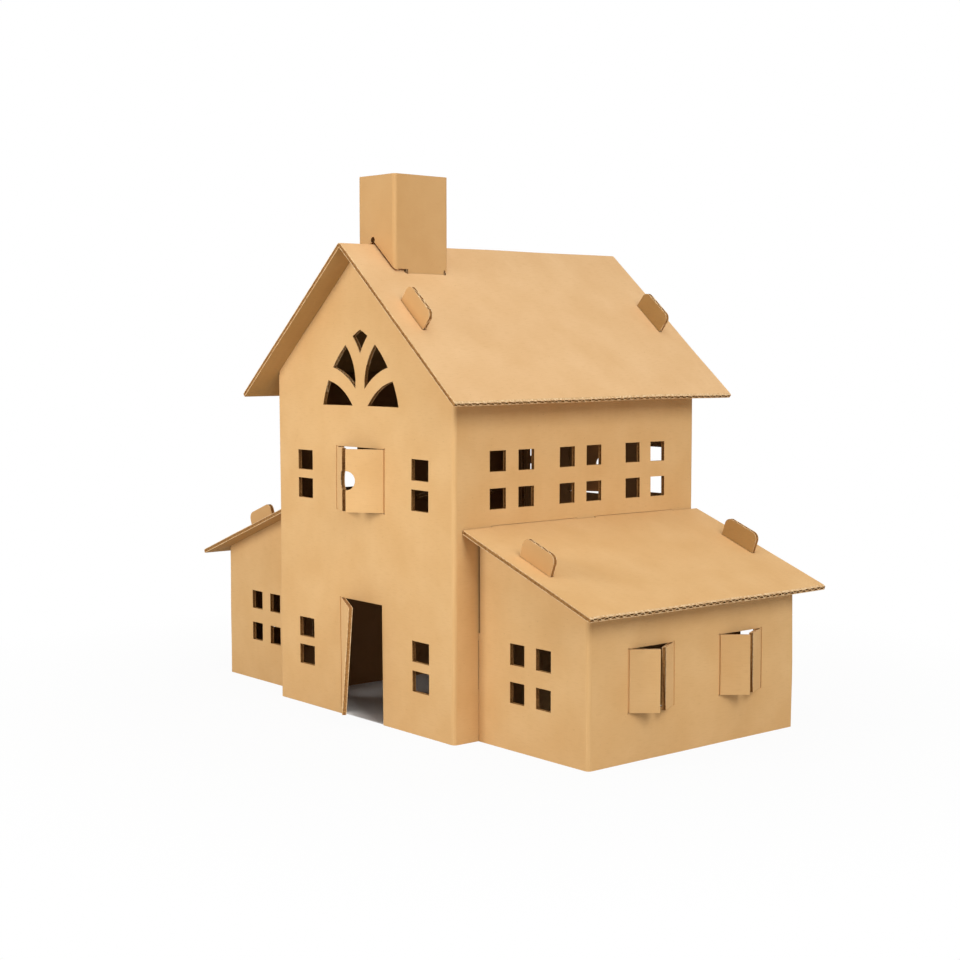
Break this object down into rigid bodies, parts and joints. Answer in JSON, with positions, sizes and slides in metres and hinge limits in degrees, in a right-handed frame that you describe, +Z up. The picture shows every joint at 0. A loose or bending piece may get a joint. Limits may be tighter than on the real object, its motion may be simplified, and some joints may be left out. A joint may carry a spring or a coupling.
{
  "type": "cardboard house",
  "caption": "Toy house of folded corrugated cardboard: gabled main block with ridge roof, chimney, door, shutters and a lean-to annexe on each side, held together by tabs in slots.",
  "frame": {"origin": "on the surface it stands on, under the middle of its bounding box", "axes": "+X across the front, towards the right annexe as seen from the front; +Y from front to rear; +Z up"},
  "size_m": [0.4562, 0.271, 0.3853],
  "materials": {
    "wall_board": "uncoated kraft",
    "roof_board": "uncoated kraft"
  },
  "bodies": {
    "root": {"main_walls": "wall_board", "main_roof": "roof_board", "chimney": "wall_board", "right_annexe_walls": "wall_board", "right_annexe_roof": "roof_board", "left_annexe_walls": "wall_board", "left_annexe_roof": "roof_board"}
  },
  "joints": []
}
